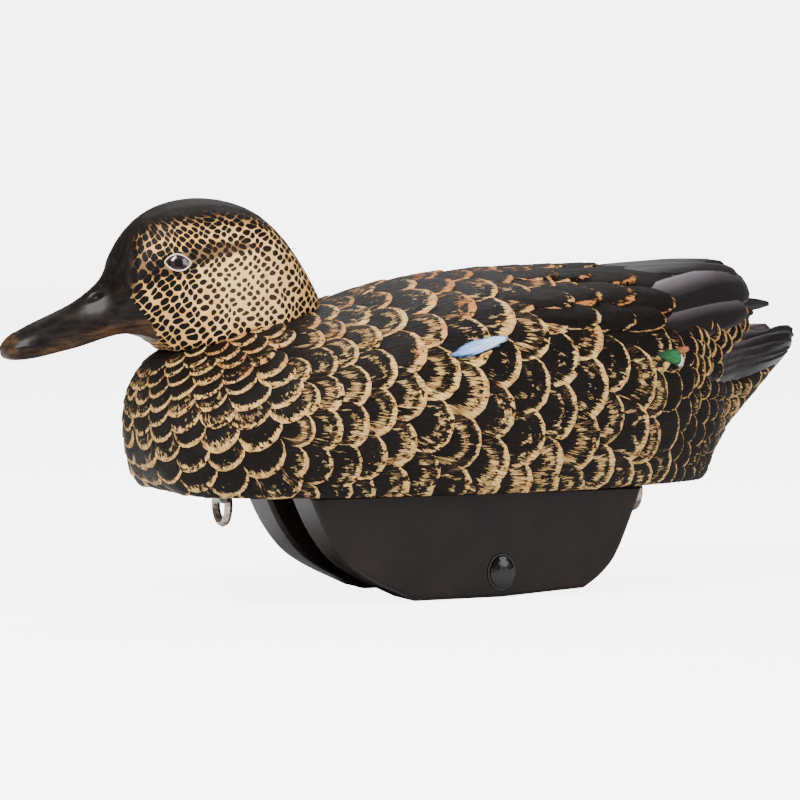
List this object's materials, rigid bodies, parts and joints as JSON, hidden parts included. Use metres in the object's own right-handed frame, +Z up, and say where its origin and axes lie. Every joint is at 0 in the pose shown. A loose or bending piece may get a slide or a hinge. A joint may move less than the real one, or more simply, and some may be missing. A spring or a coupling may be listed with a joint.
{
  "type": "floating duck decoy",
  "caption": "Hollow carved duck decoy with a plugged-in head, a weighted twin-fin keel and swinging anchor-line rings under the hull.",
  "frame": {"origin": "on the ground under the middle of the overall length, on the middle plane", "axes": "+X from bill to tail, -Y is the bird's left side, +Z up"},
  "size_m": [0.326, 0.134, 0.1503],
  "materials": {
    "painted_feathers": "matte, dark brown with buff feather edges",
    "painted_head": "matte, buff with dark brown dots, satin black bill",
    "keel_plastic": "satin dark brown",
    "plug_rubber": "glossy black",
    "sand_fill": "dry packed sand",
    "eye_gloss": "clear gloss over dark brown",
    "plated_wire": "polished nickel-plated wire",
    "screw_steel": "zinc-plated"
  },
  "bodies": {
    "hull": {"body_shell": "painted_feathers", "head_shell": "painted_head", "eye_left": "eye_gloss", "eye_right": "eye_gloss", "bottom_pan": "keel_plastic", "keel_shell": "keel_plastic", "ballast_left": "sand_fill", "ballast_right": "sand_fill", "keel_screw_1": "screw_steel", "keel_screw_2": "screw_steel", "keel_screw_3": "screw_steel", "keel_screw_4": "screw_steel", "strap_front": "screw_steel", "strap_rear": "screw_steel", "strap_screw_1": "screw_steel", "strap_screw_2": "screw_steel", "strap_screw_3": "screw_steel", "strap_screw_4": "screw_steel"},
    "front_ring": {"ring_front": "plated_wire"},
    "rear_ring": {"ring_rear": "plated_wire"},
    "left_plug": {"plug_left": "plug_rubber"},
    "right_plug": {"plug_right": "plug_rubber"}
  },
  "joints": [
    {"name": "ring_front_swing", "type": "hinge", "parent": "hull", "child": "front_ring", "pos_m": [-0.0778, 0, 0.0392], "axis": [0, 1, 0], "range_deg": [-80, 80]},
    {"name": "ring_rear_swing", "type": "hinge", "parent": "hull", "child": "rear_ring", "pos_m": [0.0952, 0, 0.0392], "axis": [0, 1, 0], "range_deg": [-80, 80]},
    {"name": "plug_left_pull", "type": "slide", "parent": "hull", "child": "left_plug", "axis": [0, -1, 0], "range_m": [0, 0.014]},
    {"name": "plug_right_pull", "type": "slide", "parent": "hull", "child": "right_plug", "axis": [0, 1, 0], "range_m": [0, 0.014]}
  ]
}
